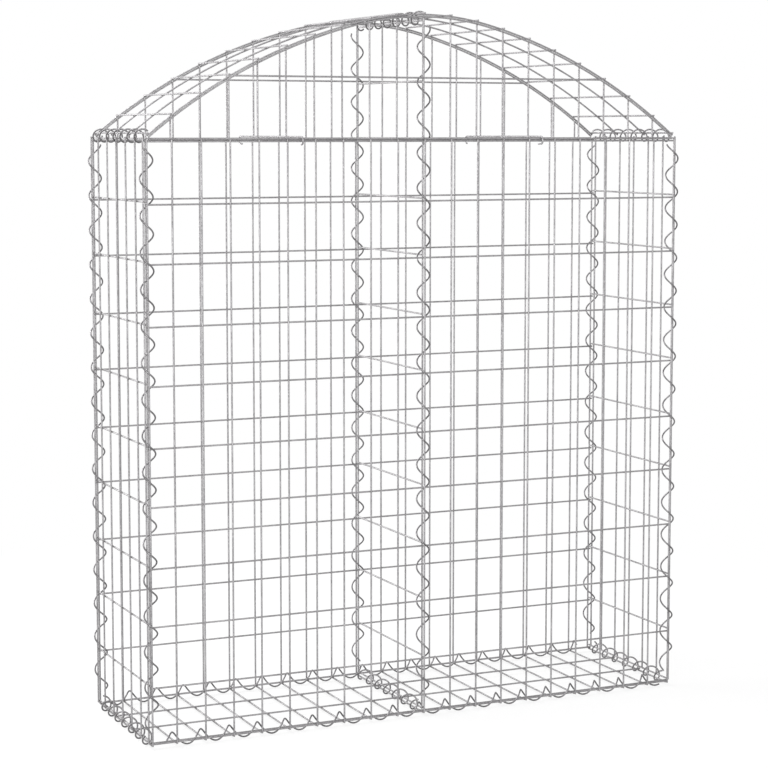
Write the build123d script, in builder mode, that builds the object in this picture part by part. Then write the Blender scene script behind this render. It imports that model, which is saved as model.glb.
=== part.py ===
from build123d import *
import math
import os

# An empty gabion basket of welded wire mesh: two bays under one arched lid, bound along its edges by spiral coils.
# Lengths are in millimetres. X runs along the wall, Y from front to back, Z up from the ground.

# Wires
wire = 3.0              # panel wire, across the flats of its six-sided bar
bar_sides = 6
wire_end = 2.5          # how far a wire runs past the last wire that it is welded to
weld_depth = 0.4        # how deep a straight wire sinks into a bent one
seat_gap = 0.3          # room between pieces that rest on each other
bar_corner = wire / 2 / math.cos(math.pi / bar_sides)
flat_turn = 180 / bar_sides

# Long panels, front and back
half_length = 492.0     # from the middle to the edge wire
half_depth = 145.0      # from the middle to the uprights
mesh_pitch = 50.0       # between uprights
foot_height = 7.7       # lowest row
first_gap = 93.4        # lowest row to the next
wide_gap = 101.0        # the rows above stand wide and narrow by turns
narrow_gap = 96.3
gap_pairs = 4
row_depth = half_depth - wire
gaps = [first_gap] + [wide_gap, narrow_gap] * gap_pairs + [wide_gap]
rows = [foot_height + sum(gaps[:count]) for count in range(len(gaps) + 1)]

# End panels, which stand just outside the ends of the long ones
end_offset = 5.0        # uprights outside the edge wires of the long panels
end_inset = 2.0         # edge wires inside the rows of the long panels
row_rise = 4.5          # their rows over those of the long panels
end_length = half_length + end_offset
end_half_depth = row_depth - end_inset
end_row_length = end_length - wire
end_rows = [height + row_rise for height in rows]

# Coils
coil_wire = 2.2             # side of the square bar
coil_sides = 4
coil_radius = 11.1          # from the axis to the middle of the wire at each bend
coil_steps = 8              # straight runs in a turn
coil_gap = 2.5              # room between the ends of two coils at a corner
upright_pitch_share = 0.3   # of a wide and a narrow gap together
across_pitch_share = 0.75   # of the mesh pitch
corner_inset = 2.5          # axis of a corner coil inside the rows that it binds
divider_inset = 3.5         # axis of a divider coil inside the rows that it binds
rest_row = 4                # end row that carries a corner coil
coil_corner = coil_wire / 2 / math.cos(math.pi / coil_sides)
coil_mean = coil_radius * (1 + math.cos(math.pi / coil_steps)) / 2
coil_reach = coil_radius + coil_corner / math.cos(math.pi / coil_steps)
coil_bend = coil_corner / math.cos(math.pi / coil_steps) + bar_corner / 2 * math.tan(math.pi / coil_steps)
bend_seat = coil_bend + seat_gap + wire / 2     # from the wire of a coil to a wire that lies in its bend
upright_pitch = upright_pitch_share * (wide_gap + narrow_gap)
across_pitch = across_pitch_share * mesh_pitch

# Uprights of the panels, which leave room beside the edge wires for the coils that bind the corners
corner_room = 2 * coil_reach
upright_count = int((half_length - corner_room) // mesh_pitch)
uprights = [mesh_pitch * k for k in range(-upright_count, upright_count + 1)]
columns = [-half_length] + uprights + [half_length]
end_count = int((end_half_depth - corner_room) // mesh_pitch)
end_uprights = [mesh_pitch * k for k in range(-end_count, end_count + 1)]
end_columns = [-end_half_depth] + end_uprights + [end_half_depth]

# Bottom panel, whose cross wires lie in the coils under it
floor_inset = 4.5           # outer lengthwise wires inside the rows of the long panels
floor_inner_share = 1 / 3
floor_half_depth = row_depth - floor_inset
cross_height = coil_reach - coil_radius + bend_seat
floor_height = cross_height + wire
floor_depths = [floor_half_depth * share for share in (-1, -floor_inner_share, floor_inner_share, 1)]

# Gables and arch
gable_row_rise = 102.0      # row over the chord
arch_inset = 4.0            # ends of the arch wire inside the edge wires of the long panels
arch_rise = 201.0           # crown of the arch wire over its ends
crown_radius = 490.0
crown_half_share = 0.25     # of the arch that has the crown radius
arch_half_length = half_length - arch_inset
gable_depth = row_depth - wire
chord_height = rows[-1] + 2 * bar_corner + seat_gap
gable_row_height = chord_height + gable_row_rise
spring_height = chord_height + wire
crown_height = spring_height + arch_rise

# Lid, bent over the gables
lid_inner_depth = 47.5      # from the middle to the inner arcs
lid_end = 3.0               # end of an arc past the last cross wire
lid_lift = bar_corner + seat_gap + wire / 2
cross_lift = lid_lift + wire - weld_depth

# Divider between the bays, a ladder of two uprights and rungs
divider_half_depth = gable_depth - wire - seat_gap
rungs = [height + row_rise for height in rows + [rows[-1] + narrow_gap, rows[-1] + narrow_gap + wide_gap]]

# Tie rods from front to back over the shoulder wires
tie_offset = 224.0
hook_radius = 6.5
hook_tail = 9.0
tie_height = chord_height + bar_corner + seat_gap + wire / 2


def finish(piece, name):
    """Labels a finished piece and writes it."""
    piece.part.label = name
    export_step(piece.part, f"parts/{name}.step")


def bars(base, places, length, turn=0.0):
    """Extrudes a six-sided bar at each place on the base plane."""
    with BuildSketch(base) as outlines:
        with Locations(*places):
            RegularPolygon(wire / 2, bar_sides, major_radius=False, rotation=turn)
    extrude(outlines.sketch, amount=length)


def bars_along_x(places, reach, turn):
    """Extrudes bars at (Y, Z) places, as far to each side of the middle as reach."""
    bars(Plane.YZ.offset(-reach), places, 2 * reach, turn)


def bars_along_y(places, reach, turn):
    """Extrudes bars at (X, Z) places, as far to each side of the middle as reach."""
    bars(Plane.XZ.offset(-reach), places, 2 * reach, turn)


# The arch is three arcs: one at the crown and one down each side, tangent to it.
crown_half_angle = math.asin(crown_half_share * arch_half_length / crown_radius)
crown_center = crown_height - crown_radius
joint_x = crown_radius * math.sin(crown_half_angle)
joint_z = crown_center + crown_radius * math.cos(crown_half_angle)
run = arch_half_length - joint_x
drop = joint_z - spring_height
side_radius = (run**2 + drop**2) / 2
side_radius /= drop * math.cos(crown_half_angle) - run * math.sin(crown_half_angle)
side_x = joint_x - side_radius * math.sin(crown_half_angle)
side_z = joint_z - side_radius * math.cos(crown_half_angle)
side_end_angle = math.asin((arch_half_length - side_x) / side_radius)


def arch_wire(depth, lift, turn):
    """Sweeps a bar along the arch, raised by lift, in the upright plane at depth."""
    half = math.degrees(crown_half_angle)
    side = math.degrees(side_end_angle) - half
    up = 90
    with BuildLine(Plane.XZ.offset(-depth)) as arch:
        CenterArc((side_x, side_z), side_radius + lift, up - half - side, side)
        CenterArc((0, crown_center), crown_radius + lift, up - half, 2 * half)
        CenterArc((-side_x, side_z), side_radius + lift, up + half, side)
    with BuildSketch(Plane(arch.line @ 0, x_dir=(0, 1, 0), z_dir=arch.line % 0)) as outline:
        RegularPolygon(wire / 2, bar_sides, major_radius=False, rotation=turn)
    sweep(outline.sketch, path=arch.line)


def arch_place(x, lift):
    """Returns the place on the arch raised by lift that is at x, with the slope there in radians."""
    if abs(x) <= (crown_radius + lift) * math.sin(crown_half_angle):
        slope = math.asin(x / (crown_radius + lift))
        return x, crown_center + (crown_radius + lift) * math.cos(slope), slope
    slope = math.asin((abs(x) - side_x) / (side_radius + lift))
    return x, side_z + (side_radius + lift) * math.cos(slope), math.copysign(slope, x)


def long_panel(side):
    """Adds the uprights and rows of a long panel, on the front for -1 or the back for 1."""
    bottom = rows[0] - wire_end
    height = rows[-1] + wire_end - bottom
    bars(Plane.XY.offset(bottom), [(x, side * half_depth) for x in columns], height)
    bars_along_x([(side * row_depth, z) for z in rows], half_length + wire_end, flat_turn)


def end_panel(side):
    """Adds the uprights and rows of an end panel, on the left for -1 or the right for 1."""
    bottom = end_rows[0] - wire_end
    height = end_rows[-1] + wire_end - bottom
    bars(Plane.XY.offset(bottom), [(side * end_length, y) for y in end_columns], height, flat_turn)
    bars_along_y([(side * end_row_length, z) for z in end_rows], end_half_depth + wire_end, flat_turn)


def gable(side):
    """Adds the chord, row, arch and uprights of a gable, on the front for -1 or the back for 1."""
    row_angle = math.acos((gable_row_height - side_z) / side_radius)
    row_reach = side_x + side_radius * math.sin(row_angle)
    bars_along_x([(side * row_depth, chord_height)], arch_half_length, flat_turn)
    bars_along_x([(side * row_depth, gable_row_height)], row_reach, flat_turn)
    arch_wire(side * row_depth, 0.0, flat_turn)
    for x in uprights:
        top = arch_place(x, 0.0)[1] + wire / 2
        bottom = chord_height - wire / 2
        bars(Plane.XY.offset(bottom), [(x, side * gable_depth)], top - bottom)


def lid():
    """Adds the arcs of the lid and the cross wires on top of them."""
    for depth in (-row_depth, -lid_inner_depth, lid_inner_depth, row_depth):
        arch_wire(depth, lid_lift, 0.0)
    end_slope = side_end_angle - lid_end / side_radius
    end_x = side_x + (side_radius + cross_lift) * math.sin(end_slope)
    places = []
    for x in [-end_x] + uprights + [end_x]:
        x, z, slope = arch_place(x, cross_lift)
        places.append(Location((x, z, 0), (0, 0, -math.degrees(slope))))
    bars_along_y(places, row_depth + wire_end, 0.0)


def seat_over(pitch):
    """Returns how far along its axis a coil stands from the wire that it crosses and rests on."""
    climb = math.atan(pitch / (2 * math.pi * coil_mean))
    return (bar_corner + coil_corner + seat_gap) / math.cos(climb)


def coil(base, low, high, pitch, angle, place):
    """Winds a left-handed coil about the normal of base, from low to high along it.

    At place the wire is at angle degrees, counted from the plane's x towards its y.
    """
    step = 360 / coil_steps
    first = math.ceil(((low - place) / pitch * 360 - angle) / step)
    last = math.floor(((high - place) / pitch * 360 - angle) / step)
    bends = []
    for count in range(first, last + 1):
        turn = math.radians(-count * step)
        along = place + pitch * (angle + count * step) / 360
        bends.append(base.from_local_coords((coil_radius * math.cos(turn), coil_radius * math.sin(turn), along)))
    with BuildLine() as spiral:
        Polyline(*bends)
    with BuildSketch(Plane(bends[0], z_dir=bends[1] - bends[0])) as outline:
        RegularPolygon(coil_wire / 2, coil_sides, major_radius=False)
    sweep(outline.sketch, path=spiral.line, transition=Transition.RIGHT)


def turned(base, turn):
    """Returns base turned about the upright through the middle of the basket."""
    return Plane(Rotation(0, 0, turn) * base.location)


os.makedirs("parts", exist_ok=True)

for name, side in (("front_panel", -1), ("back_panel", 1)):
    with BuildPart() as panel:
        long_panel(side)
    finish(panel, name)

for name, side in (("left_end_panel", -1), ("right_end_panel", 1)):
    with BuildPart() as panel:
        end_panel(side)
    finish(panel, name)

with BuildPart() as bottom_panel:
    bars_along_x([(y, floor_height) for y in floor_depths], half_length + wire_end, 0.0)
    bars_along_y([(x, cross_height) for x in columns], floor_half_depth + wire_end, 0.0)
finish(bottom_panel, "bottom_panel")

with BuildPart() as divider_panel:
    ladder_bottom = rungs[0] - wire / 2
    ladder_height = rungs[-1] + wire_end - ladder_bottom
    bars(Plane.XY.offset(ladder_bottom), [(0, -divider_half_depth), (0, divider_half_depth)], ladder_height)
    bars_along_y([(0, z) for z in rungs], divider_half_depth, 0.0)
finish(divider_panel, "divider_panel")

for name, side in (("front_gable", -1), ("back_gable", 1)):
    with BuildPart() as panel:
        gable(side)
    finish(panel, name)

with BuildPart() as arched_lid:
    lid()
finish(arched_lid, "arched_lid")

# Coils come in pairs: each second one is the first turned half round the middle of the basket.
floor_axis_height = coil_reach
upright_low = floor_axis_height + coil_reach + coil_gap
upright_high = rows[-1] - wire_end - coil_gap
across_reach = row_depth - coil_reach + coil_gap / 2
floor_across_reach = floor_half_depth - coil_reach - coil_gap
along_reach = half_length - coil_reach - coil_gap

# Corner coils rest on a row of the end panel.
corner_cross_angle = math.degrees(math.asin(corner_inset / coil_mean))
corner_place = end_rows[rest_row] + seat_over(upright_pitch)
for side, names in ((-1, ("front_left_coil", "back_right_coil")), (1, ("front_right_coil", "back_left_coil"))):
    axis = Plane((side * (end_row_length - corner_inset), corner_inset - row_depth, 0))
    angle = 90 - side * corner_cross_angle
    for name, turn in zip(names, (0, 180)):
        with BuildPart() as corner_coil:
            coil(turned(axis, turn), upright_low, upright_high, upright_pitch, angle, corner_place)
        finish(corner_coil, name)

# Divider coils rest on the chord of a gable.
divider_angle = -math.degrees(math.asin(divider_inset / coil_mean))
divider_place = chord_height + seat_over(upright_pitch)
divider_high = crown_height - coil_reach - coil_gap
for name, turn in (("divider_front_coil", 0), ("divider_back_coil", 180)):
    with BuildPart() as divider_coil:
        axis = Plane((0, divider_inset - row_depth, 0))
        coil(turned(axis, turn), upright_low, divider_high, upright_pitch, divider_angle, divider_place)
    finish(divider_coil, name)

# Bottom coils along the wall lean on the lowest rung of the divider.
along_angle = -math.degrees(math.asin((floor_axis_height - rungs[0]) / coil_mean))
along_axis_depth = (row_depth + floor_half_depth) / 2
for name, turn in (("bottom_front_coil", 0), ("bottom_back_coil", 180)):
    with BuildPart() as along_coil:
        axis = Plane((0, -along_axis_depth, floor_axis_height), x_dir=(0, 1, 0), z_dir=(1, 0, 0))
        coil(turned(axis, turn), -along_reach, along_reach, mesh_pitch, along_angle, seat_over(mesh_pitch))
    finish(along_coil, name)

# Bottom coils across the wall carry the cross wires at its ends and its middle.
end_upright_angle = math.degrees(math.acos(end_offset / coil_mean))
for name, turn in (("bottom_right_coil", 0), ("bottom_left_coil", 180)):
    with BuildPart() as across_coil:
        axis = Plane((half_length, 0, floor_axis_height), x_dir=(1, 0, 0), z_dir=(0, -1, 0))
        coil(turned(axis, turn), -across_reach, across_reach, across_pitch, end_upright_angle, across_pitch / 2)
    finish(across_coil, name)

top_angle = 90
middle_place = across_pitch / 4
with BuildPart() as bottom_divider_coil:
    axis = Plane((0, 0, floor_axis_height), x_dir=(1, 0, 0), z_dir=(0, -1, 0))
    coil(axis, -floor_across_reach, floor_across_reach, across_pitch, top_angle, middle_place)
finish(bottom_divider_coil, "bottom_divider_coil")

# Shoulder coils bind the top row of an end panel to the last cross wire of the lid.
lid_end_slope = side_end_angle - lid_end / side_radius
lid_end_x = side_x + (side_radius + cross_lift) * math.sin(lid_end_slope)
lid_end_z = side_z + (side_radius + cross_lift) * math.cos(lid_end_slope)
shoulder_x = (end_row_length + lid_end_x) / 2
shoulder_z = (end_rows[-1] + lid_end_z) / 2
shoulder_angle = -math.degrees(math.acos((end_length - shoulder_x) / coil_mean))
for name, turn in (("right_shoulder_coil", 0), ("left_shoulder_coil", 180)):
    with BuildPart() as shoulder_coil:
        axis = Plane((shoulder_x, 0, shoulder_z), x_dir=(1, 0, 0), z_dir=(0, -1, 0))
        coil(
            turned(axis, turn), -across_reach, across_reach, across_pitch, shoulder_angle, seat_over(across_pitch)
        )
    finish(shoulder_coil, name)

# The crown coil hangs on the middle cross wire of the lid.
crown_axis_height = crown_height + cross_lift + bend_seat - coil_radius
with BuildPart() as crown_coil:
    axis = Plane((0, 0, crown_axis_height), x_dir=(1, 0, 0), z_dir=(0, -1, 0))
    coil(axis, -across_reach, across_reach, across_pitch, top_angle, middle_place)
finish(crown_coil, "crown_coil")

# Tie rods, bent into a hook under the shoulder wires at each end.
for name, side in (("left_tie_rod", -1), ("right_tie_rod", 1)):
    with BuildPart() as tie_rod:
        low = tie_height - 2 * hook_radius
        middle = tie_height - hook_radius
        inner = row_depth - hook_tail
        with BuildLine(Plane.YZ.offset(side * tie_offset)) as bent_rod:
            Line((-inner, low), (-row_depth, low))
            ThreePointArc((-row_depth, low), (-row_depth - hook_radius, middle), (-row_depth, tie_height))
            Line((-row_depth, tie_height), (row_depth, tie_height))
            ThreePointArc((row_depth, tie_height), (row_depth + hook_radius, middle), (row_depth, low))
            Line((row_depth, low), (inner, low))
        with BuildSketch(Plane(bent_rod.line @ 0, x_dir=(1, 0, 0), z_dir=bent_rod.line % 0)):
            RegularPolygon(wire / 2, bar_sides, major_radius=False)
        sweep()
    finish(tie_rod, name)
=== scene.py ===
import math
import random

import bpy
from mathutils import Matrix, Vector


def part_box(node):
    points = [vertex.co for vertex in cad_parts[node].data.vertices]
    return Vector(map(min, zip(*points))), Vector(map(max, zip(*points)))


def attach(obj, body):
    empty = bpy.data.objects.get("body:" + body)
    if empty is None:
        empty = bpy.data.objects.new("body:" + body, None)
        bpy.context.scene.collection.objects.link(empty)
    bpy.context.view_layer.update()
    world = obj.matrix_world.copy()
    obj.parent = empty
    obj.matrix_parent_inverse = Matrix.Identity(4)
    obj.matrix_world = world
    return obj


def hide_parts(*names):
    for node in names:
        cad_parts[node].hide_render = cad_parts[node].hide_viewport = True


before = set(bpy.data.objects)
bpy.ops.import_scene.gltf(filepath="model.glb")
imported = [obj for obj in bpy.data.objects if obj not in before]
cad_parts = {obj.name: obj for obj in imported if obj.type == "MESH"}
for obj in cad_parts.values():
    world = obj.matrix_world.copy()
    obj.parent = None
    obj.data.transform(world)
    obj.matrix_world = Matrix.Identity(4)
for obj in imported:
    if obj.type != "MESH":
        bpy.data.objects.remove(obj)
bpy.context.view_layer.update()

# Sizes of the wires, in metres. Places come from the boxes of the solids.
wire = 0.003                # panel wire and tie rods
wire_end = 0.0025           # wire past the last weld
wire_sides = 12
wire_corner = wire / 2 / math.cos(math.pi / 6)      # half a panel bar of the solids, across its corners
nip_width = 0.14 * wire     # chamfer that the cutters leave round the end of a wire
nip_depth = 0.12 * wire
end_facing = 0.9            # a face turned this far along a wire is an end of it
bead = 1.25 * wire          # weld along and across the wires
flat_bead = 0.62 * wire     # weld from one wire through to the other
bead_sides = 8
bead_rings = 5
same_place = 0.001 * wire   # points this close become one
quarter_turn = math.pi / 2
smooth_angle = math.radians(46)

mesh_pitch = 0.05
foot_gap = 0.0934           # between the two lowest rows
wide_gap = 0.101
narrow_gap = 0.0963
row_gaps = [foot_gap] + [wide_gap, narrow_gap] * 4 + [wide_gap]
row_rise = 0.0045           # rows of the ends and the divider over those of the long panels
mesh_spread = 0.0002        # how unevenly the mesh is welded
mesh_seed = 17
rng = random.Random(mesh_seed)


def mesh_places(reach):
    """Returns the places one mesh pitch apart from the middle outwards, as far as reach."""
    count = int(reach // mesh_pitch)
    return [mesh_pitch * k for k in range(-count, count + 1)]


front_low, front_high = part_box("front_panel")
half_length = front_high.x - wire_end
half_depth = -front_low.y - wire / 2
row_depth = half_depth - wire
foot_height = front_low.z + wire_end
rows = [foot_height + sum(row_gaps[:count]) for count in range(len(row_gaps) + 1)]
uprights = mesh_places(half_length)
columns = [-half_length] + uprights + [half_length]

end_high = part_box("right_end_panel")[1]
end_length = end_high.x - wire / 2
end_row_length = end_length - wire
end_half_depth = end_high.y - wire_end
end_columns = [-end_half_depth] + mesh_places(end_half_depth) + [end_half_depth]
end_rows = [height + row_rise for height in rows]

floor_low, floor_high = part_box("bottom_panel")
floor_half_depth = floor_high.y - wire_end
floor_height = floor_high.z - wire / 2
cross_height = floor_low.z + wire / 2
floor_inner_share = 1 / 3
floor_depths = [floor_half_depth * share for share in (-1, -floor_inner_share, floor_inner_share, 1)]

divider_low, divider_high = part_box("divider_panel")
divider_half_depth = divider_high.y - wire / 2
rungs = end_rows + [end_rows[-1] + narrow_gap, end_rows[-1] + narrow_gap + wide_gap]

gable_row_rise = 0.102      # row over the chord
arch_inset = 0.004          # ends of the arch inside the edge wires of the long panels
arch_rise = 0.201           # crown of the arch over its ends
arch_steps = 24             # faces along each arc
crown_radius = 0.49
crown_half_share = 0.25     # of the arch that has the crown radius
seat_gap = 0.0003           # between the lid and the gables
weld_depth = 0.0004         # how deep a straight wire sinks into a bent one
lid_inner_depth = 0.0475
lid_end = 0.003             # arched wires of the lid past their last cross wire
chord_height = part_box("front_gable")[0].z + wire_corner
gable_row_height = chord_height + gable_row_rise
gable_depth = row_depth - wire
spring_height = chord_height + wire
crown_height = spring_height + arch_rise
arch_half_length = half_length - arch_inset
lid_lift = wire_corner + seat_gap + wire / 2
cross_lift = lid_lift + wire - weld_depth

coil_wire = 0.0028
coil_radius = 0.0107        # from the axis of a coil to the middle of its wire
coil_sides = 12
coil_steps = 32             # faces along one turn
coil_bends = 8              # a coil starts and ends at an eighth of a turn, as its solid does
coil_gap = 0.0025           # between the end of a coil and what stands in its way
coil_seat = 0.00359         # from the wire of a coil to a wire that it crosses and rests on
coil_reach = 0.01278        # from the axis of a coil to its outside in the solids
upright_pitch_share = 0.3   # of a wide and a narrow gap together
across_pitch_share = 0.75   # of the mesh pitch
upright_pitch = upright_pitch_share * (wide_gap + narrow_gap)
across_pitch = across_pitch_share * mesh_pitch
corner_inset = 0.0025       # axis of a corner coil inside the rows that it binds
divider_inset = 0.0035      # axis of a divider coil inside the rows that it binds
corner_row = 4              # row of the ends that the corner coils rest on, the lowest being 0

hook_tail = 0.009
hook_steps = 12


# Finishes. Scales are waves to the metre, and ranges are the part of a noise that is stretched to 0 to 1.
cloud_scale = 23.0
lump_scale = 310.0
grain_scale = 1900.0
die_line_scale = 2600.0
patch_scale = 11.0
speckle_scale = 700.0
panel_crystals = 420.0
coil_crystals = 520.0
weld_crystals = 900.0
rich_detail = 3.0
plain_detail = 2.0
noise_roughness = 0.55

full_range = (0.0, 1.0)
tone_range = (0.3, 0.7)
die_line_range = (0.35, 0.65)
patch_range = (0.52, 0.66)
speckle_range = (0.45, 0.62)

cloud_weight = 0.5
crystal_weight = 0.3
grain_weight = 0.2
lump_relief = 0.4
grain_relief = 0.25
die_line_relief = 0.3
relief_strength = 0.15
relief_depth = 0.0001

panel_dullness = 0.5
coil_dullness = 0.42
weld_dullness = 0.55
dark_dulling = 0.12         # dark zinc is this much duller
light_polish = 0.06         # light zinc is this much less dull
bloom_dulling = 0.2
panel_metal = 0.9
coil_metal = 1.0
weld_metal = 0.5

zinc_dark = (0.22, 0.214, 0.22, 1)
zinc_light = (0.34, 0.333, 0.34, 1)
zinc_chalk = (0.4, 0.394, 0.4, 1)
# Coil colours hold painted shade: the same zinc as the panels, darkened to stand in for the shade on the
# coil's sides.
coil_dark_painted_shade = (0.13, 0.126, 0.13, 1)
coil_light_painted_shade = (0.22, 0.214, 0.22, 1)
coil_chalk_painted_shade = (0.3, 0.295, 0.3, 1)
weld_dark = (0.17, 0.163, 0.16, 1)
weld_light = (0.27, 0.262, 0.258, 1)

die_squeeze = 0.02          # die lines are fifty times as long as they are wide
lengthwise = (die_squeeze, 1, 1)
crosswise = (1, die_squeeze, 1)
upright = (1, 1, die_squeeze)
all_ways = (1, 1, 1)


def new_group(name, inputs, outputs):
    """Starts a shader node group and returns it with its input and output nodes."""
    group = bpy.data.node_groups.new(name, "ShaderNodeTree")
    for label, kind, value in inputs:
        socket = group.interface.new_socket(label, in_out="INPUT", socket_type=kind)
        if value is not None:
            socket.default_value = value
    for label in outputs:
        group.interface.new_socket(label, in_out="OUTPUT", socket_type="NodeSocketFloat")
    return group, group.nodes.new("NodeGroupInput"), group.nodes.new("NodeGroupOutput")


def noise(nodes, links, vector, scale, detail):
    """Adds a noise texture on a vector and returns its value."""
    made = nodes.new("ShaderNodeTexNoise")
    made.inputs["Scale"].default_value = scale
    made.inputs["Detail"].default_value = detail
    made.inputs["Roughness"].default_value = noise_roughness
    links.new(vector, made.inputs["Vector"])
    return made.outputs["Fac"]


def stretched(nodes, links, value, source, target=full_range):
    """Stretches a value from one range to another, and keeps it there."""
    made = nodes.new("ShaderNodeMapRange")
    for label, number in zip(("From Min", "From Max", "To Min", "To Max"), source + target):
        made.inputs[label].default_value = number
    links.new(value, made.inputs["Value"])
    return made.outputs["Result"]


def arithmetic(nodes, links, operation, first, second):
    """Joins two values, each a socket or a number."""
    made = nodes.new("ShaderNodeMath")
    made.operation = operation
    for socket, value in zip(made.inputs, (first, second)):
        if isinstance(value, (int, float)):
            socket.default_value = value
        else:
            links.new(value, socket)
    return made.outputs["Value"]


def zinc_skin_group():
    """The skin of hot-dipped zinc: broad clouds, crystals a few millimetres wide, and fine grain."""
    group, start, end = new_group(
        "zinc_skin",
        [("Vector", "NodeSocketVector", None), ("Crystals", "NodeSocketFloat", panel_crystals)],
        ["Tone", "Height"],
    )
    nodes, links = group.nodes, group.links
    vector = start.outputs["Vector"]
    clouds = noise(nodes, links, vector, cloud_scale, rich_detail)
    grain = noise(nodes, links, vector, grain_scale, plain_detail)
    crystals = nodes.new("ShaderNodeTexVoronoi")
    links.new(vector, crystals.inputs["Vector"])
    links.new(start.outputs["Crystals"], crystals.inputs["Scale"])
    facet = nodes.new("ShaderNodeSeparateColor")
    links.new(crystals.outputs["Color"], facet.inputs["Color"])
    broad = arithmetic(nodes, links, "MULTIPLY", clouds, cloud_weight)
    facets = arithmetic(nodes, links, "MULTIPLY", facet.outputs["Red"], crystal_weight)
    fine = arithmetic(nodes, links, "MULTIPLY", grain, grain_weight)
    tone = arithmetic(nodes, links, "ADD", arithmetic(nodes, links, "ADD", broad, facets), fine)
    links.new(stretched(nodes, links, tone, tone_range), end.inputs["Tone"])
    lumps = noise(nodes, links, vector, lump_scale, plain_detail)
    lump_height = arithmetic(nodes, links, "MULTIPLY", lumps, lump_relief)
    grain_height = arithmetic(nodes, links, "MULTIPLY", grain, grain_relief)
    links.new(arithmetic(nodes, links, "ADD", lump_height, grain_height), end.inputs["Height"])
    return group


def drawn_lines_group():
    """Fine lines that the die leaves along a drawn wire, on a vector squeezed along the wire."""
    group, start, end = new_group("drawn_lines", [("Vector", "NodeSocketVector", None)], ["Lines"])
    nodes, links = group.nodes, group.links
    lines = noise(nodes, links, start.outputs["Vector"], die_line_scale, plain_detail)
    links.new(stretched(nodes, links, lines, die_line_range), end.inputs["Lines"])
    return group


def chalk_group():
    """Pale chalky bloom that grows on new zinc in patches."""
    group, start, end = new_group("chalk_bloom", [("Vector", "NodeSocketVector", None)], ["Bloom"])
    nodes, links = group.nodes, group.links
    patches = noise(nodes, links, start.outputs["Vector"], patch_scale, plain_detail)
    speckle = noise(nodes, links, start.outputs["Vector"], speckle_scale, rich_detail)
    patch = stretched(nodes, links, patches, patch_range)
    dots = stretched(nodes, links, speckle, speckle_range)
    links.new(arithmetic(nodes, links, "MULTIPLY", patch, dots), end.inputs["Bloom"])
    return group


zinc_skin = zinc_skin_group()
drawn_lines = drawn_lines_group()
chalk_bloom = chalk_group()


def placed_group(nodes, links, group, vector):
    """Places a node group in a material, on a vector."""
    made = nodes.new("ShaderNodeGroup")
    made.node_tree = group
    links.new(vector, made.inputs["Vector"])
    return made


def blended(nodes, links, factor, first, second):
    """Mixes two colours, each a socket or a colour."""
    made = nodes.new("ShaderNodeMix")
    made.data_type = "RGBA"
    # Sockets of a mix node share their names, so those for colours are taken by number.
    links.new(factor, made.inputs[0])
    for socket, value in zip(made.inputs[6:8], (first, second)):
        if isinstance(value, tuple):
            socket.default_value = value
        else:
            links.new(value, socket)
    return made.outputs[2]


def zinc_finish(name, dark, light, chalk, dullness, squeeze, crystals, metal):
    """Makes a zinc finish. Squeeze is how much the die lines are drawn out along X, Y and Z."""
    material = bpy.data.materials.new(name)
    material.use_nodes = True
    nodes, links = material.node_tree.nodes, material.node_tree.links
    shader = nodes["Principled BSDF"]
    shader.inputs["Metallic"].default_value = metal
    place = nodes.new("ShaderNodeTexCoord").outputs["Object"]
    skin = placed_group(nodes, links, zinc_skin, place)
    skin.inputs["Crystals"].default_value = crystals
    along = nodes.new("ShaderNodeMapping")
    along.inputs["Scale"].default_value = squeeze
    links.new(place, along.inputs["Vector"])
    lines = placed_group(nodes, links, drawn_lines, along.outputs["Vector"])
    bloom = placed_group(nodes, links, chalk_bloom, place)
    colour = blended(nodes, links, skin.outputs["Tone"], dark, light)
    links.new(blended(nodes, links, bloom.outputs["Bloom"], colour, chalk), shader.inputs["Base Color"])
    dull_range = (dullness + dark_dulling, dullness - light_polish)
    dull = stretched(nodes, links, skin.outputs["Tone"], full_range, dull_range)
    chalky = arithmetic(nodes, links, "MULTIPLY", bloom.outputs["Bloom"], bloom_dulling)
    links.new(arithmetic(nodes, links, "ADD", dull, chalky), shader.inputs["Roughness"])
    line_height = arithmetic(nodes, links, "MULTIPLY", lines.outputs["Lines"], die_line_relief)
    relief = arithmetic(nodes, links, "ADD", line_height, skin.outputs["Height"])
    bump = nodes.new("ShaderNodeBump")
    bump.inputs["Strength"].default_value = relief_strength
    bump.inputs["Distance"].default_value = relief_depth
    links.new(relief, bump.inputs["Height"])
    links.new(bump.outputs["Normal"], shader.inputs["Normal"])
    return material


def panel_finish(name, squeeze):
    """Makes the finish of panel wires that run the way that their die lines are drawn out."""
    return zinc_finish(
        name, zinc_dark, zinc_light, zinc_chalk, panel_dullness, squeeze, panel_crystals, panel_metal
    )


row_zinc = panel_finish("row_zinc", lengthwise)
cross_zinc = panel_finish("cross_zinc", crosswise)
upright_zinc = panel_finish("upright_zinc", upright)
bent_zinc = panel_finish("bent_zinc", all_ways)
# The coil finish holds painted shade: its zinc colours are darkened to stand in for the shade on the coil's
# sides.
coil_zinc_painted_shade = zinc_finish(
    "coil_zinc_painted_shade", coil_dark_painted_shade, coil_light_painted_shade, coil_chalk_painted_shade, coil_dullness, all_ways, coil_crystals, coil_metal
)
weld_zinc = zinc_finish(
    "weld_zinc", weld_dark, weld_light, zinc_dark, weld_dullness, all_ways, weld_crystals, weld_metal
)


# Tools for shaping wires

def deselect():
    bpy.ops.object.select_all(action="DESELECT")


def pick(piece):
    """Selects one piece alone."""
    deselect()
    piece.select_set(True)
    bpy.context.view_layer.objects.active = piece


def editing(piece):
    """Opens one piece in edit mode with all of it selected."""
    pick(piece)
    bpy.ops.object.mode_set(mode="EDIT")
    bpy.ops.mesh.select_all(action="SELECT")


def settle(piece, finish):
    """Moves a piece's place into its mesh and gives it a finish."""
    pick(piece)
    bpy.ops.object.transform_apply(location=True, rotation=True, scale=True)
    piece.data.materials.clear()
    piece.data.materials.append(finish)
    return piece


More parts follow.
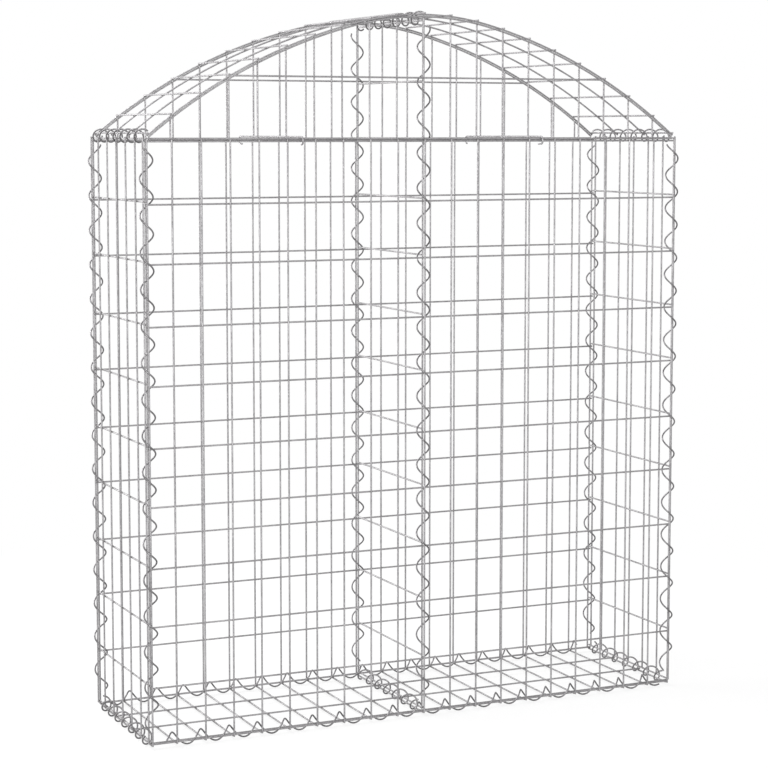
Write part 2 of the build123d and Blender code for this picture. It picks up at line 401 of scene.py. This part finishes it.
def nip_ends(direction):
    """Chamfers the ends of a straight wire, as cutters leave them. The wire is open in edit mode."""
    bpy.ops.mesh.select_mode(type="FACE")
    bpy.ops.object.mode_set(mode="OBJECT")
    for face in bpy.context.object.data.polygons:
        face.select = abs(face.normal.dot(direction)) > end_facing
    bpy.ops.object.mode_set(mode="EDIT")
    bpy.ops.mesh.inset(thickness=nip_width, depth=nip_depth, use_individual=True)


def straight_wire(direction, length, place, finish):
    """Adds a straight wire along X, Y or Z, centred on place."""
    turns = {"X": (0, quarter_turn, 0), "Y": (quarter_turn, 0, 0), "Z": (0, 0, 0)}
    ways = {"X": Vector((1, 0, 0)), "Y": Vector((0, 1, 0)), "Z": Vector((0, 0, 1))}
    deselect()
    bpy.ops.mesh.primitive_cylinder_add(
        vertices=wire_sides, radius=wire / 2, depth=length, location=place, rotation=turns[direction]
    )
    piece = settle(bpy.context.object, finish)
    editing(piece)
    nip_ends(ways[direction])
    bpy.ops.object.mode_set(mode="OBJECT")
    return piece


def weld(place, size):
    """Adds the bead of metal pressed out where two wires are welded: a ball of this size along X, Y and Z."""
    deselect()
    bpy.ops.mesh.primitive_uv_sphere_add(
        segments=bead_sides, ring_count=bead_rings, radius=0.5, location=place, scale=size
    )
    return settle(bpy.context.object, weld_zinc)


def repeat(piece, places):
    """Copies a piece's mesh from the first of the places, where it is, to each of the others."""
    editing(piece)
    for last, place in zip(places, places[1:]):
        step = Vector(place) - Vector(last)
        bpy.ops.mesh.duplicate_move(TRANSFORM_OT_translate={"value": step})
    bpy.ops.object.mode_set(mode="OBJECT")
    return piece


def uneven(values):
    """Returns the values, each a little off, as a mesh machine spaces its wires."""
    return [value + rng.uniform(-mesh_spread, mesh_spread) for value in values]


def joined(name, pieces):
    """Joins pieces into one smooth piece with this name."""
    deselect()
    for piece in pieces:
        piece.select_set(True)
    bpy.context.view_layer.objects.active = pieces[0]
    if len(pieces) > 1:
        bpy.ops.object.join()
    piece = bpy.context.object
    piece.name = name
    piece.data.name = name
    bpy.ops.object.shade_smooth_by_angle(angle=smooth_angle)
    return piece


def dress(piece, node):
    """Puts a finished piece in the place of its solid."""
    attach(piece, "root")
    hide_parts(node)


def turned_copy(piece, name):
    """Copies a piece, with a mesh of its own, turned half round the middle of the basket."""
    pick(piece)
    bpy.ops.object.duplicate(linked=False)
    copy = bpy.context.object
    copy.name = name
    copy.data.name = name
    copy.matrix_world = Matrix.Rotation(math.pi, 4, "Z")
    bpy.ops.object.transform_apply(location=True, rotation=True, scale=True)
    return copy


def dress_pair(piece, nodes, copy_name):
    """Puts a finished piece in the place of its solid, and a copy of it on the other side of the basket."""
    copy = turned_copy(piece, copy_name)
    dress(piece, nodes[0])
    dress(copy, nodes[1])


# Mesh panels

def welded_row(direction, length, place, crossings, finish, size):
    """Makes a wire with a weld at each crossing, all in one piece."""
    line = straight_wire(direction, length, place, finish)
    beads = repeat(weld(crossings[0], size), crossings)
    return joined("welded_row", [line, beads])


def long_panel():
    """Makes the front panel: uprights outside, rows welded to them inside."""
    bottom = rows[0] - wire_end
    height = rows[-1] + wire_end - bottom
    middle = bottom + height / 2
    places = [(x, -half_depth, middle) for x in uneven(columns)]
    posts = repeat(straight_wire("Z", height, places[0], upright_zinc), places)
    length = 2 * (half_length + wire_end)
    crossings = [(place[0], wire / 2 - half_depth, rows[0]) for place in places]
    size = (bead, flat_bead, bead)
    row = welded_row("X", length, (0, -row_depth, rows[0]), crossings, row_zinc, size)
    repeat(row, [(0, 0, level) for level in rows[:1] + uneven(rows[1:])])
    return joined("front_panel_wires", [posts, row])


def end_panel():
    """Makes the left end panel: uprights outside, rows welded to them inside."""
    bottom = end_rows[0] - wire_end
    height = end_rows[-1] + wire_end - bottom
    middle = bottom + height / 2
    places = [(-end_length, y, middle) for y in uneven(end_columns)]
    posts = repeat(straight_wire("Z", height, places[0], upright_zinc), places)
    length = 2 * (end_half_depth + wire_end)
    crossings = [(wire / 2 - end_length, place[1], end_rows[0]) for place in places]
    size = (flat_bead, bead, bead)
    row = welded_row("Y", length, (-end_row_length, 0, end_rows[0]), crossings, cross_zinc, size)
    repeat(row, [(0, 0, level) for level in end_rows[:1] + uneven(end_rows[1:])])
    return joined("left_end_panel_wires", [posts, row])


def floor_panel():
    """Makes the floor: cross wires below, lengthwise wires welded on top of them."""
    places = [(x, 0, cross_height) for x in uneven(columns)]
    cross = straight_wire("Y", 2 * (floor_half_depth + wire_end), places[0], cross_zinc)
    repeat(cross, places)
    first = floor_depths[0]
    length = 2 * (half_length + wire_end)
    crossings = [(place[0], first, cross_height + wire / 2) for place in places]
    size = (bead, bead, flat_bead)
    row = welded_row("X", length, (0, first, floor_height), crossings, row_zinc, size)
    repeat(row, [(0, depth, 0) for depth in floor_depths])
    return joined("bottom_panel_wires", [cross, row])


def divider():
    """Makes the ladder between the bays, with its rungs welded between two uprights."""
    height = divider_high.z - divider_low.z
    middle = (divider_low.z + divider_high.z) / 2
    places = [(0, -divider_half_depth, middle), (0, divider_half_depth, middle)]
    posts = repeat(straight_wire("Z", height, places[0], upright_zinc), places)
    inner = divider_half_depth - wire / 2
    crossings = [(0, -inner, rungs[0]), (0, inner, rungs[0])]
    size = (bead, flat_bead, bead)
    rung = welded_row("Y", 2 * divider_half_depth, (0, 0, rungs[0]), crossings, cross_zinc, size)
    repeat(rung, [(0, 0, level) for level in rungs])
    return joined("divider_wires", [posts, rung])


# Arch: an arc at the crown and one down each side, tangent to it
crown_half_angle = math.asin(crown_half_share * arch_half_length / crown_radius)
crown_center = crown_height - crown_radius
joint_x = crown_radius * math.sin(crown_half_angle)
joint_z = crown_center + crown_radius * math.cos(crown_half_angle)
run = arch_half_length - joint_x
drop = joint_z - spring_height
side_radius = (run**2 + drop**2) / 2
side_radius /= drop * math.cos(crown_half_angle) - run * math.sin(crown_half_angle)
side_x = joint_x - side_radius * math.sin(crown_half_angle)
side_z = joint_z - side_radius * math.cos(crown_half_angle)
side_end_angle = math.asin((arch_half_length - side_x) / side_radius)

# The last cross wire at the right end of the lid
lid_end_slope = side_end_angle - lid_end / side_radius
lid_end_x = side_x + (side_radius + cross_lift) * math.sin(lid_end_slope)
lid_end_z = side_z + (side_radius + cross_lift) * math.cos(lid_end_slope)


def arch_place(x, lift):
    """Returns how high the arch raised by lift is at x."""
    if abs(x) <= (crown_radius + lift) * math.sin(crown_half_angle):
        return crown_center + math.sqrt((crown_radius + lift) ** 2 - x**2)
    return side_z + math.sqrt((side_radius + lift) ** 2 - (abs(x) - side_x) ** 2)


def tube_start(place, turn, radius, sides, finish):
    """Adds the open ring that a bent wire is drawn out from, and opens it in edit mode."""
    deselect()
    bpy.ops.mesh.primitive_circle_add(vertices=sides, radius=radius, location=place, rotation=turn)
    piece = settle(bpy.context.object, finish)
    editing(piece)
    return piece


def close_tube():
    """Closes the ends of a tube that is open in edit mode, and turns its faces outwards."""
    bpy.ops.mesh.select_all(action="SELECT")
    bpy.ops.mesh.remove_doubles(threshold=same_place)
    bpy.ops.mesh.fill_holes(sides=0)
    bpy.ops.mesh.select_all(action="SELECT")
    bpy.ops.mesh.normals_make_consistent(inside=False)
    bpy.ops.object.mode_set(mode="OBJECT")


def arched_wire(depth, lift):
    """Bends a wire along the arch raised by lift, from its left end to its right end."""
    left = -side_x - (side_radius + lift) * math.sin(side_end_angle)
    bottom = side_z + (side_radius + lift) * math.cos(side_end_angle)
    turn = (0, quarter_turn - side_end_angle, 0)
    piece = tube_start((left, depth, bottom), turn, wire / 2, wire_sides, bent_zinc)
    side_turn = side_end_angle - crown_half_angle
    left_arc = (-side_x, side_z, side_turn)
    crown_arc = (0, crown_center, 2 * crown_half_angle)
    right_arc = (side_x, side_z, side_turn)
    for x, z, angle in (left_arc, crown_arc, right_arc):
        bpy.ops.mesh.spin(steps=arch_steps, angle=-angle, center=(x, depth, z), axis=(0, 1, 0))
    close_tube()
    return piece


def gable():
    """Makes the front gable: chord, row and arch in front, uprights welded behind them."""
    row_angle = math.acos((gable_row_height - side_z) / side_radius)
    row_reach = side_x + side_radius * math.sin(row_angle)
    size = (bead, flat_bead, bead)
    parts = [arched_wire(-row_depth, 0.0)]
    for reach, height in ((arch_half_length, chord_height), (row_reach, gable_row_height)):
        crossings = [(x, wire / 2 - row_depth, height) for x in uprights if abs(x) < reach]
        parts.append(welded_row("X", 2 * reach, (0, -row_depth, height), crossings, row_zinc, size))
    bottom = chord_height - wire / 2
    for x in uprights:
        top = arch_place(x, 0.0) + wire / 2
        place = (x, -gable_depth, (bottom + top) / 2)
        parts.append(straight_wire("Z", top - bottom, place, upright_zinc))
        parts.append(weld((x, wire / 2 - row_depth, top - wire / 2), size))
    return joined("front_gable_wires", parts)


def lid():
    """Makes the lid: four arched wires with cross wires welded on top of them."""
    depths = (-row_depth, -lid_inner_depth, lid_inner_depth, row_depth)
    parts = [arched_wire(depth, lid_lift) for depth in depths]
    places = [(x, 0, arch_place(x, cross_lift)) for x in [-lid_end_x] + uneven(uprights) + [lid_end_x]]
    crossings = [(places[0][0], depth, places[0][2] - wire / 2) for depth in depths]
    size = (bead, bead, flat_bead)
    cross = welded_row("Y", 2 * (row_depth + wire_end), places[0], crossings, cross_zinc, size)
    repeat(cross, places)
    return joined("arched_lid_wires", parts + [cross])


dress_pair(long_panel(), ("front_panel", "back_panel"), "back_panel_wires")
dress_pair(end_panel(), ("left_end_panel", "right_end_panel"), "right_end_panel_wires")
dress_pair(gable(), ("front_gable", "back_gable"), "back_gable_wires")
dress(floor_panel(), "bottom_panel")
dress(divider(), "divider_panel")
dress(lid(), "arched_lid")


# Spiral coils

def coil_frame(origin, across, along):
    """Returns the frame of a coil: its first direction across, then the rest, and the way that it runs."""
    x, z = Vector(across), Vector(along)
    y = z.cross(x)
    columns_of_frame = [x, y, z, Vector(origin)]
    rows_of_frame = [[column[k] for column in columns_of_frame] for k in range(3)]
    return Matrix(rows_of_frame + [[0, 0, 0, 1]])


def climb_of(pitch):
    """Returns the angle at which the wire of a coil climbs."""
    return math.atan(pitch / (math.tau * coil_radius))


def seat_over(pitch):
    """Returns how far along its axis a coil stands from the wire that it crosses and rests on."""
    return coil_seat / math.cos(climb_of(pitch))


def degrees_of_sine(height):
    """Returns the angle at which the wire of a coil is this high over its axis."""
    return math.degrees(math.asin(height / coil_radius))


def degrees_of_cosine(reach):
    """Returns the angle at which the wire of a coil is this far across from its axis."""
    return math.degrees(math.acos(reach / coil_radius))


def coil(name, base, low, high, pitch, angle, place):
    """Winds a left-handed coil from low to high. At place its wire is at angle degrees."""
    step = 360 / coil_bends
    first = math.ceil(((low - place) / pitch * 360 - angle) / step)
    last = math.floor(((high - place) / pitch * 360 - angle) / step)
    start = place + pitch * (angle + first * step) / 360
    turns = (last - first) * step / 360
    piece = tube_start((0, 0, 0), (quarter_turn, 0, 0), coil_wire / 2, coil_sides, coil_zinc_painted_shade)
    bpy.ops.transform.resize(value=(1, 1, 1 / math.cos(climb_of(pitch))), center_override=(0, 0, 0))
    bpy.ops.transform.translate(value=(coil_radius, 0, 0))
    bpy.ops.object.mode_set(mode="OBJECT")
    winding = piece.modifiers.new("winding", "SCREW")
    winding.axis = "Z"
    winding.angle = -math.tau * turns
    winding.screw_offset = pitch * turns
    winding.steps = round(coil_steps * turns)
    winding.render_steps = winding.steps
    winding.use_smooth_shade = True
    bpy.ops.object.modifier_apply(modifier=winding.name)
    editing(piece)
    close_tube()
    first_turn = Matrix.Rotation(math.radians(-first * step), 4, "Z")
    piece.matrix_world = base @ Matrix.Translation((0, 0, start)) @ first_turn
    settle(piece, coil_zinc_painted_shade)
    return joined(name, [piece])


def coil_pair(nodes, base, *winding):
    """Winds a coil and its twin on the other side of the basket."""
    piece = coil(nodes[0] + "_wire", base, *winding)
    dress_pair(piece, nodes, nodes[1] + "_wire")


up = (0, 0, 1)
right = (1, 0, 0)
back = (0, 1, 0)
front = (0, -1, 0)
floor_axis_height = coil_reach
upright_low = floor_axis_height + coil_reach + coil_gap
upright_high = rows[-1] - wire_end - coil_gap
across_reach = row_depth - coil_reach + coil_gap / 2
floor_across_reach = floor_half_depth - coil_reach - coil_gap
along_reach = half_length - coil_reach - coil_gap

corner_place = end_rows[corner_row] + seat_over(upright_pitch)
corner_angle = degrees_of_sine(corner_inset)
corner_x = end_row_length - corner_inset
left_corners = ("front_left_coil", "back_right_coil")
right_corners = ("front_right_coil", "back_left_coil")
for side, corners in ((-1, left_corners), (1, right_corners)):
    base = coil_frame((side * corner_x, corner_inset - row_depth, 0), right, up)
    coil_pair(corners, base, upright_low, upright_high, upright_pitch, 90 - side * corner_angle, corner_place)

base = coil_frame((0, divider_inset - row_depth, 0), right, up)
divider_top = crown_height - coil_reach - coil_gap
coil_pair(
    ("divider_front_coil", "divider_back_coil"), base, upright_low, divider_top, upright_pitch,
    -degrees_of_sine(divider_inset), chord_height + seat_over(upright_pitch),
)

base = coil_frame((0, -(row_depth + floor_half_depth) / 2, floor_axis_height), back, right)
coil_pair(
    ("bottom_front_coil", "bottom_back_coil"), base, -along_reach, along_reach, mesh_pitch,
    -degrees_of_sine(floor_axis_height - rungs[0]), seat_over(mesh_pitch),
)

base = coil_frame((half_length, 0, floor_axis_height), right, front)
coil_pair(
    ("bottom_right_coil", "bottom_left_coil"), base, -across_reach, across_reach, across_pitch,
    degrees_of_cosine(end_length - half_length), across_pitch / 2,
)

shoulder_x = (end_row_length + lid_end_x) / 2
base = coil_frame((shoulder_x, 0, (end_rows[-1] + lid_end_z) / 2), right, front)
coil_pair(
    ("right_shoulder_coil", "left_shoulder_coil"), base, -across_reach, across_reach, across_pitch,
    -degrees_of_cosine(end_length - shoulder_x), seat_over(across_pitch),
)

crown_low, crown_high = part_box("crown_coil")
for node, height, reach in (
    ("bottom_divider_coil", floor_axis_height, floor_across_reach),
    ("crown_coil", (crown_low.z + crown_high.z) / 2, across_reach),
):
    base = coil_frame((0, 0, height), right, front)
    dress(coil(node + "_wire", base, -reach, reach, across_pitch, 90, across_pitch / 4), node)


# Tie rods

def tie_rod():
    """Bends the left tie rod: a straight rod with a hook turned back under each end."""
    low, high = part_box("left_tie_rod")
    x = (low.x + high.x) / 2
    tail_height = low.z + wire / 2
    hook_radius = (high.z - low.z - wire) / 2
    middle = tail_height + hook_radius
    hook_depth = high.y - wire / 2 - hook_radius
    start = (x, hook_tail - hook_depth, tail_height)
    piece = tube_start(start, (quarter_turn, 0, 0), wire / 2, wire_sides, cross_zinc)
    bpy.ops.mesh.extrude_region_move(TRANSFORM_OT_translate={"value": (0, -hook_tail, 0)})
    bpy.ops.mesh.spin(steps=hook_steps, angle=math.pi, center=(x, -hook_depth, middle), axis=(1, 0, 0))
    bpy.ops.mesh.extrude_region_move(TRANSFORM_OT_translate={"value": (0, 2 * hook_depth, 0)})
    bpy.ops.mesh.spin(steps=hook_steps, angle=math.pi, center=(x, hook_depth, middle), axis=(1, 0, 0))
    bpy.ops.mesh.extrude_region_move(TRANSFORM_OT_translate={"value": (0, -hook_tail, 0)})
    close_tube()
    return joined("left_tie_rod_wire", [piece])


dress_pair(tie_rod(), ("left_tie_rod", "right_tie_rod"), "right_tie_rod_wire")


# Studio: pale floor, white surroundings, soft light
ground_radius = 40.0
ground_sides = 64
ground_drop = 0.0005        # floor of the studio under the basket
ground_tone = (0.9, 0.9, 0.9, 1)
ground_dullness = 0.9
shadow_reach = (0.7, 1.6)   # the shadow fades out between these distances from the middle
plain_white = (0.8, 1.0)    # how much of the floor is plain white there
sky_tone = (1, 1, 1, 1)
sky_strength = (0.55, 1.0)  # as light on things, and as seen
basket_middle = Vector((0, 0, 0.6))
camera_place = (-1.5658, -3.405, 1.0059)
camera_pitch = math.radians(5.505)
camera_yaw = math.radians(24.556)
camera_lens = 100.04
camera_sensor = 36.0
camera_shift = -0.06


def seen_white(nodes, links):
    """Returns 1 for what the camera, gloss and glass see, and 0 for the light that falls on things."""
    path = nodes.new("ShaderNodeLightPath")
    seen = arithmetic(nodes, links, "MAXIMUM", path.outputs["Is Camera Ray"], path.outputs["Is Glossy Ray"])
    return arithmetic(nodes, links, "MAXIMUM", seen, path.outputs["Is Transmission Ray"])


def studio_floor():
    """Lays the pale floor, which keeps the shadow near the basket and is white farther out."""
    deselect()
    bpy.ops.mesh.primitive_circle_add(
        vertices=ground_sides, radius=ground_radius, fill_type="NGON", location=(0, 0, -ground_drop)
    )
    material = bpy.data.materials.new("studio_floor")
    ground = settle(bpy.context.object, material)
    ground.name = "studio_floor"
    material.use_nodes = True
    nodes, links = material.node_tree.nodes, material.node_tree.links
    shader = nodes["Principled BSDF"]
    shader.inputs["Base Color"].default_value = ground_tone
    shader.inputs["Roughness"].default_value = ground_dullness
    shader.inputs["Specular IOR Level"].default_value = 0.0
    white = nodes.new("ShaderNodeEmission")
    place = nodes.new("ShaderNodeTexCoord").outputs["Object"]
    reach = nodes.new("ShaderNodeVectorMath")
    reach.operation = "LENGTH"
    links.new(place, reach.inputs[0])
    fade = stretched(nodes, links, reach.outputs["Value"], shadow_reach, plain_white)
    mix = nodes.new("ShaderNodeMixShader")
    links.new(arithmetic(nodes, links, "MULTIPLY", seen_white(nodes, links), fade), mix.inputs["Fac"])
    links.new(shader.outputs["BSDF"], mix.inputs[1])
    links.new(white.outputs["Emission"], mix.inputs[2])
    links.new(mix.outputs["Shader"], nodes["Material Output"].inputs["Surface"])


def studio_world():
    """Sets white surroundings, which light things less than they show."""
    world = bpy.data.worlds.new("studio_world")
    bpy.context.scene.world = world
    world.use_nodes = True
    nodes, links = world.node_tree.nodes, world.node_tree.links
    sky = nodes["Background"]
    sky.inputs["Color"].default_value = sky_tone
    strength = stretched(nodes, links, seen_white(nodes, links), full_range, sky_strength)
    links.new(strength, sky.inputs["Strength"])


def softbox(name, place, size, power):
    """Adds a large soft lamp that looks at the middle of the basket."""
    data = bpy.data.lights.new(name, "AREA")
    data.shape = "DISK"
    data.size = size
    data.energy = power
    lamp = bpy.data.objects.new(name, data)
    lamp.location = place
    lamp.rotation_mode = "QUATERNION"
    lamp.rotation_quaternion = (basket_middle - Vector(place)).to_track_quat("-Z", "Y")
    bpy.context.collection.objects.link(lamp)


def photograph_camera():
    """Sets the camera where the photograph was taken from."""
    data = bpy.data.cameras.new("photo_camera")
    data.lens = camera_lens
    data.sensor_width = camera_sensor
    data.shift_y = camera_shift
    camera = bpy.data.objects.new("photo_camera", data)
    camera.location = camera_place
    camera.rotation_euler = (quarter_turn - camera_pitch, 0, -camera_yaw)
    bpy.context.collection.objects.link(camera)
    bpy.context.scene.camera = camera


studio_floor()
studio_world()
softbox("front_light", place=(-1.95, -4.3, 1.2), size=4.4, power=250.0)
softbox("top_light", place=(-2.2, 1.4, 4.2), size=3.0, power=180.0)
softbox("back_light", place=(-1.3, 3.6, 0.7), size=2.4, power=75.0)
photograph_camera()
bpy.context.scene.view_settings.view_transform = "Standard"
